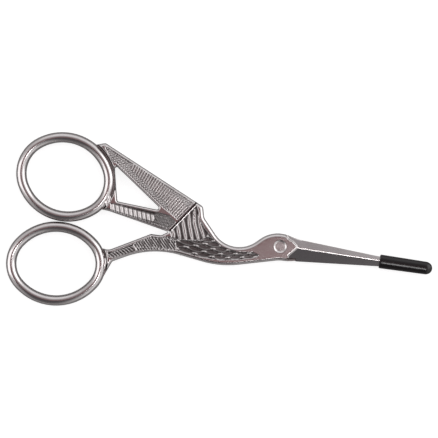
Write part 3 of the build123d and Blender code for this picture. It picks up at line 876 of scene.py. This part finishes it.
def wear_and_shade_group():
    """Build the plating's shader group from noise and the painted shade value, or find it.

    Tone goes from bright to dark by 0.92 painted shade + 0.4 clouds - 0.16, so random tarnished
    patches and the painted shade of hollows, ring flanks and seams share the dark colour. Roughness
    is polish + 0.1 clouds + 0.16 painted shade, and height is grain (0.7 scratches + 0.3 pits).
    """
    group = bpy.data.node_groups.get("plating_wear_and_shade")
    if group:
        return group
    group = bpy.data.node_groups.new("plating_wear_and_shade", "ShaderNodeTree")
    for name, kind, default in (
        ("Bright", "NodeSocketColor", (0.8, 0.8, 0.8, 1)),
        ("Dark", "NodeSocketColor", (0.2, 0.2, 0.2, 1)),
        ("Grain", "NodeSocketFloat", 1.0),
        ("Polish", "NodeSocketFloat", 0.12),
    ):
        socket = group.interface.new_socket(name, in_out="INPUT", socket_type=kind)
        socket.default_value = default
    for name, kind in (("Colour", "Color"), ("Roughness", "Float"), ("Height", "Float")):
        group.interface.new_socket(name, in_out="OUTPUT", socket_type="NodeSocket" + kind)
    nodes, links = group.nodes, group.links
    given, result = nodes.new("NodeGroupInput"), nodes.new("NodeGroupOutput")
    place = nodes.new("ShaderNodeTexCoord").outputs["Object"]
    attribute = nodes.new("ShaderNodeAttribute")
    attribute.attribute_name = "hollow"
    hollow = attribute.outputs["Fac"]
    strokes = nodes.new("ShaderNodeMapping")
    strokes.inputs["Scale"].default_value = (260, 2600, 2600)
    links.new(place, strokes.inputs["Vector"])
    (scratches,) = noises(nodes, links, strokes.outputs["Vector"], (1.0, 4))
    clouds, pits = noises(nodes, links, place, (210, 5), (3400, 2))
    cover = arithmetic(nodes, links, "MULTIPLY_ADD", clouds, 0.4, -0.16)
    # Painted shade: the dark colour is mixed in where hollows, ring flanks and seams are darkened
    cover = arithmetic(nodes, links, "MULTIPLY_ADD", hollow, 0.92, cover)
    cover.node.use_clamp = True
    tone = mix_colours(nodes, links, cover, given.outputs["Bright"], given.outputs["Dark"])
    rough = arithmetic(nodes, links, "MULTIPLY_ADD", clouds, 0.1, given.outputs["Polish"])
    rough = arithmetic(nodes, links, "MULTIPLY_ADD", hollow, 0.16, rough)
    fine = arithmetic(nodes, links, "MULTIPLY_ADD", scratches, 0.7, 0.0)
    fine = arithmetic(nodes, links, "MULTIPLY_ADD", pits, 0.3, fine)
    fine = arithmetic(nodes, links, "MULTIPLY", fine, given.outputs["Grain"])
    for name, value in (("Colour", tone), ("Roughness", rough), ("Height", fine)):
        links.new(value, result.inputs[name])
    return group


def new_material(name):
    """Make a material with nodes and return it with its nodes, its links and its shader."""
    material = bpy.data.materials.new(name)
    material.use_nodes = True
    tree = material.node_tree
    return material, tree.nodes, tree.links, tree.nodes["Principled BSDF"]


def plated(name, settings, grain, polish):
    """Make a plated steel material with its own grain and polish."""
    material, nodes, links, shader = new_material(name)
    shader.inputs["Metallic"].default_value = 1.0
    wear_and_shade = nodes.new("ShaderNodeGroup")
    wear_and_shade.node_tree = wear_and_shade_group()
    wear_and_shade.inputs["Bright"].default_value = (*settings.steel, 1)
    wear_and_shade.inputs["Dark"].default_value = (*settings.tarnish_and_shade, 1)
    wear_and_shade.inputs["Grain"].default_value = grain
    wear_and_shade.inputs["Polish"].default_value = polish
    links.new(wear_and_shade.outputs["Colour"], shader.inputs["Base Color"])
    links.new(wear_and_shade.outputs["Roughness"], shader.inputs["Roughness"])
    raised(nodes, links, shader, wear_and_shade.outputs["Height"], 0.00004)
    return material


def dipped_vinyl(settings):
    """Make the guard's glossy black vinyl with a soft orange peel and faint rubbed patches."""
    material, nodes, links, shader = new_material("dipped_vinyl")
    place = nodes.new("ShaderNodeTexCoord").outputs["Object"]
    peel, rubs = noises(nodes, links, place, (900, 4), (160, 4))
    ramp = nodes.new("ShaderNodeValToRGB")
    ramp.color_ramp.elements[0].color = (*settings.vinyl, 1)
    ramp.color_ramp.elements[1].color = (*(2 * value for value in settings.vinyl), 1)
    links.new(rubs, ramp.inputs["Fac"])
    links.new(ramp.outputs["Color"], shader.inputs["Base Color"])
    rough = arithmetic(nodes, links, "MULTIPLY_ADD", rubs, 0.14, 0.1)
    links.new(rough, shader.inputs["Roughness"])
    raised(nodes, links, shader, peel, 0.00003)
    return material


def lever_sizes(settings):
    """Return the lever's sizes in millimetres.

    They are the thickness, the levels of the upper and lower inner face, the ring's band, the
    seam's gap and the carving's depth.
    """
    thickness = settings.thickness * MM
    gap = settings.parting_gap * MM / 2
    band, seam = settings.ring_band * MM, settings.seam_gap * MM
    depth = settings.carving_depth * MM
    return thickness, thickness / 2 + gap, thickness / 2 - gap, band, seam, depth


class SCISSORS_OT_front_lever(bpy.types.Operator):
    """Add the front lever: lower finger ring, leg, carved body and upper blade"""

    bl_idname = "scissors.front_lever"
    bl_label = "Front Lever"

    def execute(self, context):
        """Join the upper plate, the leg's plate, the ring, the screw's seat and the petals."""
        settings = context.scene.scissors
        thickness, over, _, band, seam, depth = lever_sizes(settings)
        width, drop = settings.rim_width * MM, settings.rim_drop * MM
        leg_top, belly, head = front_edges(band)
        rims = [(leg_top, LEG_RIM), (belly, (BELLY_RIM_WIDTH, drop)), (head[:-1], (width, drop))]
        rings = [(LOWER_RING, band)]

        def top(points):
            """Return the carved face in view."""
            return face_height(points, thickness, rims, depth, rings, over, 1)

        def inner(points):
            """Return the flat parting face."""
            return np.full(len(points), over), parting_shade(points)

        def bottom(points):
            """Return the carved face underneath."""
            return carved(points, rims[:2], depth, rings)

        outline = front_outline(band)
        sink = circle(SCREW_HEAD / 2 + SCREW_PLAY)
        upper = plate(outline, [seam_slot(SEAM_TOP, seam), sink], top, inner, PITCH)
        seat = washer(SCREW_SHANK / 2 + SCREW_PLAY, SCREW_HEAD / 2 + 0.2, over, SCREW_SEAT)
        leg = plate(outline, [beyond_seam(HIP, seam, 1)], inner, bottom, UNDER_PITCH)
        ring = finger_ring(LOWER_RING, band, thickness)
        leaves = [petals(LOWER_PETALS, level) for level in (thickness - PETAL_LEVEL, PETAL_LEVEL)]
        vertices, faces, hollow = joined(upper, leg, ring, seat, *leaves)
        piece = make_piece("front_lever_carved", vertices, faces, hollow=hollow)
        piece.data.materials.append(plated("front_plating", settings, 1.0, 0.12))
        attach(piece, "front_half")
        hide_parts("front_lever")
        return {"FINISHED"}


class SCISSORS_OT_back_lever(bpy.types.Operator):
    """Add the back lever: upper finger ring, carved wing and arm, body and lower blade"""

    bl_idname = "scissors.back_lever"
    bl_label = "Back Lever"

    def execute(self, context):
        """Join the wing's plate, the lower plate, the ring and the petals."""
        settings = context.scene.scissors
        thickness, over, under, band, seam, depth = lever_sizes(settings)
        window = closed(rounded(WINDOW[-1:] + WINDOW + WINDOW[:1], [WINDOW_ROUND] * 4)[1:-1])
        wing_edge, arm, belly = back_edges(band)
        rims = [(wing_edge[:-1], WING_RIM), (arm, ARM_RIM), (window, WINDOW_RIM)]
        lower_rims = rims + [(belly, (BELLY_RIM_WIDTH, settings.rim_drop * MM))]
        rings = [(UPPER_RING, band)]

        def top(points):
            """Return the carved face in view."""
            sunk, hollow = carved(points, rims, depth, rings)
            return thickness - sunk, hollow

        def inner(points):
            """Return the flat parting face."""
            return np.full(len(points), under), parting_shade(points)

        def bottom(points):
            """Return the carved face underneath."""
            height, hollow = face_height(points, thickness, lower_rims, depth, rings, over, -1)
            return thickness - height, hollow

        outline = back_outline(band)
        wing = plate(outline, [window, beyond_seam(SEAM_TOP, seam, -1)], top, inner, PITCH)
        thread = circle(SCREW_THREAD / 2 + THREAD_PLAY)
        cuts = [window, seam_slot(HIP, seam), thread]
        lower = plate(outline, cuts, inner, bottom, UNDER_PITCH)
        ring = finger_ring(UPPER_RING, band, thickness)
        leaves = [petals(UPPER_PETALS, level) for level in (thickness - PETAL_LEVEL, PETAL_LEVEL)]
        vertices, faces, hollow = joined(wing, lower, ring, *leaves)
        piece = make_piece("back_lever_carved", vertices, faces, hollow=hollow)
        piece.data.materials.append(plated("back_plating", settings, 1.0, 0.13))
        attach(piece, "back_half")
        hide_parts("back_lever")
        return {"FINISHED"}


class SCISSORS_OT_pivot_screw(bpy.types.Operator):
    """Finish the pivot screw, which is the stork's eye"""

    bl_idname = "scissors.pivot_screw"
    bl_label = "Pivot Screw"

    def execute(self, context):
        """Give the CAD screw its plating."""
        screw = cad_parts["pivot_screw"]
        screw.data.materials.clear()
        screw.data.materials.append(plated("screw_plating", context.scene.scissors, 0.8, 0.16))
        return {"FINISHED"}


class SCISSORS_OT_tip_guard(bpy.types.Operator):
    """Add the tip guard: a dipped vinyl sleeve with a round closed end"""

    bl_idname = "scissors.tip_guard"
    bl_label = "Tip Guard"

    def execute(self, context):
        """Make the sleeve in the box of the CAD guard."""
        low, high = (np.array(corner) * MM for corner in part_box("tip_guard"))
        piece = make_piece("tip_guard_vinyl", *guard_sleeve(low, high), 50)
        piece.data.materials.append(dipped_vinyl(context.scene.scissors))
        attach(piece, "guard")
        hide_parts("tip_guard")
        return {"FINISHED"}


class SCISSORS_OT_stage(bpy.types.Operator):
    """Add the floor, the studio light and the camera above the scissors"""

    bl_idname = "scissors.stage"
    bl_label = "Stage"

    def execute(self, context):
        """Make the floor, the camera, the lamps and the world."""
        settings = context.scene.scissors
        scene = context.scene
        corners = np.array([(-1, -1, 0), (1, -1, 0), (1, 1, 0), (-1, 1, 0)])
        vertices = corners * 1500.0 - (0, 0, 0.02)
        floor = make_piece("studio_floor", vertices, np.array([(0, 1, 2, 3)]))
        floor.data.materials.append(pale_floor(settings))

        data = bpy.data.cameras.new("photo_camera")
        camera = bpy.data.objects.new("photo_camera", data)
        scene.collection.objects.link(camera)
        data.sensor_fit = "HORIZONTAL"
        data.sensor_width = 36
        data.lens = data.sensor_width * CAMERA_HEIGHT / settings.view_width
        data.clip_start, data.clip_end = 0.01, 20
        camera.location = (*VIEW_CENTRE, CAMERA_HEIGHT + settings.thickness)
        camera.rotation_euler = (0, 0, settings.view_turn)
        scene.camera = camera

        for name, place, size, power in LAMPS:
            light = bpy.data.lights.new(name, "AREA")
            light.shape = "RECTANGLE"
            light.size, light.size_y = size
            light.energy = power
            lamp = bpy.data.objects.new(name, light)
            lamp.location = place
            lamp.rotation_euler = aim(place)
            scene.collection.objects.link(lamp)

        scene.world = studio_world()
        scene.view_settings.view_transform = "Standard"
        return {"FINISHED"}


def aim(place):
    """Return the turn that points a lamp's -Z axis from its place at the middle of the scissors."""
    x, y, z = np.array(LAMP_AIM) - place
    return (np.pi / 2 + np.arctan2(z, np.hypot(x, y)), 0, np.arctan2(y, x) - np.pi / 2)


def pale_floor(settings):
    """Make the floor's paper: grey in the light, and lifted to white where the camera sees it."""
    material, nodes, links, shader = new_material("white_paper")
    shader.inputs["Roughness"].default_value = 0.9
    shader.inputs["Specular IOR Level"].default_value = 0.1
    shader.inputs["Base Color"].default_value = (*settings.floor, 1)
    glow, path = nodes.new("ShaderNodeEmission"), nodes.new("ShaderNodeLightPath")
    lift = arithmetic(nodes, links, "MULTIPLY", path.outputs["Is Camera Ray"], FLOOR_GLOW)
    links.new(lift, glow.inputs["Strength"])
    both = nodes.new("ShaderNodeAddShader")
    links.new(shader.outputs["BSDF"], both.inputs[0])
    links.new(glow.outputs["Emission"], both.inputs[1])
    links.new(both.outputs["Shader"], nodes["Material Output"].inputs["Surface"])
    return material


def studio_world():
    """Make the room: dim overhead and lighter behind, with walls left, right and at the horizon.

    The shade's place is y / 2 + 1/2 of the direction, and each wall is mixed over it.
    """
    world = bpy.data.worlds.new("studio")
    world.use_nodes = True
    nodes, links = world.node_tree.nodes, world.node_tree.links
    background = nodes["Background"]
    place = nodes.new("ShaderNodeTexCoord")
    split = nodes.new("ShaderNodeSeparateXYZ")
    links.new(place.outputs["Generated"], split.inputs["Vector"])
    depth = arithmetic(nodes, links, "MULTIPLY_ADD", split.outputs["Y"], 0.5, 0.5)
    room = nodes.new("ShaderNodeValToRGB")
    elements = room.color_ramp.elements
    while len(elements) < len(ROOM_SHADES):
        elements.new(0.5)
    for element, (position, colour) in zip(elements, ROOM_SHADES):
        element.position = position
        element.color = (*colour, 1)
    links.new(depth, room.inputs["Fac"])
    colour = room.outputs["Color"]
    for axis, start, end, shade in ROOM_WALLS:
        cover = map_range(nodes, links, split.outputs[axis], start, end)
        colour = mix_colours(nodes, links, cover, colour, shade)
    links.new(colour, background.inputs["Color"])
    background.inputs["Strength"].default_value = 1.0
    return world


def map_range(nodes, links, value, start, end):
    """Add a smooth Map Range node from start..end to 0..1 and return its output."""
    node = nodes.new("ShaderNodeMapRange")
    node.interpolation_type = "SMOOTHSTEP"
    links.new(value, node.inputs["Value"])
    node.inputs["From Min"].default_value = start
    node.inputs["From Max"].default_value = end
    return node.outputs["Result"]


class SCISSORS_PT_panel(bpy.types.Panel):
    """Lists the scissors' pieces and settings"""

    bl_idname = "SCISSORS_PT_panel"
    bl_label = "Scissors"
    bl_space_type = "VIEW_3D"
    bl_region_type = "UI"
    bl_category = "Scissors"

    def draw(self, context):
        """Show every setting, then a button for the stage and for each piece."""
        layout = self.layout
        for name in ScissorsSettings.__annotations__:
            layout.prop(context.scene.scissors, name)
        for operator in OPERATORS:
            layout.operator(operator.bl_idname)


OPERATORS = (
    SCISSORS_OT_stage,
    SCISSORS_OT_back_lever,
    SCISSORS_OT_front_lever,
    SCISSORS_OT_pivot_screw,
    SCISSORS_OT_tip_guard,
)


def register():
    """Register the settings, the operators and the panel."""
    bpy.utils.register_class(ScissorsSettings)
    for operator in OPERATORS:
        bpy.utils.register_class(operator)
    bpy.utils.register_class(SCISSORS_PT_panel)
    bpy.types.Scene.scissors = bpy.props.PointerProperty(type=ScissorsSettings)


def unregister():
    """Take away everything that register added."""
    del bpy.types.Scene.scissors
    bpy.utils.unregister_class(SCISSORS_PT_panel)
    for operator in reversed(OPERATORS):
        bpy.utils.unregister_class(operator)
    bpy.utils.unregister_class(ScissorsSettings)


def main():
    """Register the classes, then build the stage and every piece."""
    register()
    bpy.ops.scissors.stage()
    bpy.ops.scissors.back_lever()
    bpy.ops.scissors.front_lever()
    bpy.ops.scissors.pivot_screw()
    bpy.ops.scissors.tip_guard()


if __name__ == "__main__":
    main()
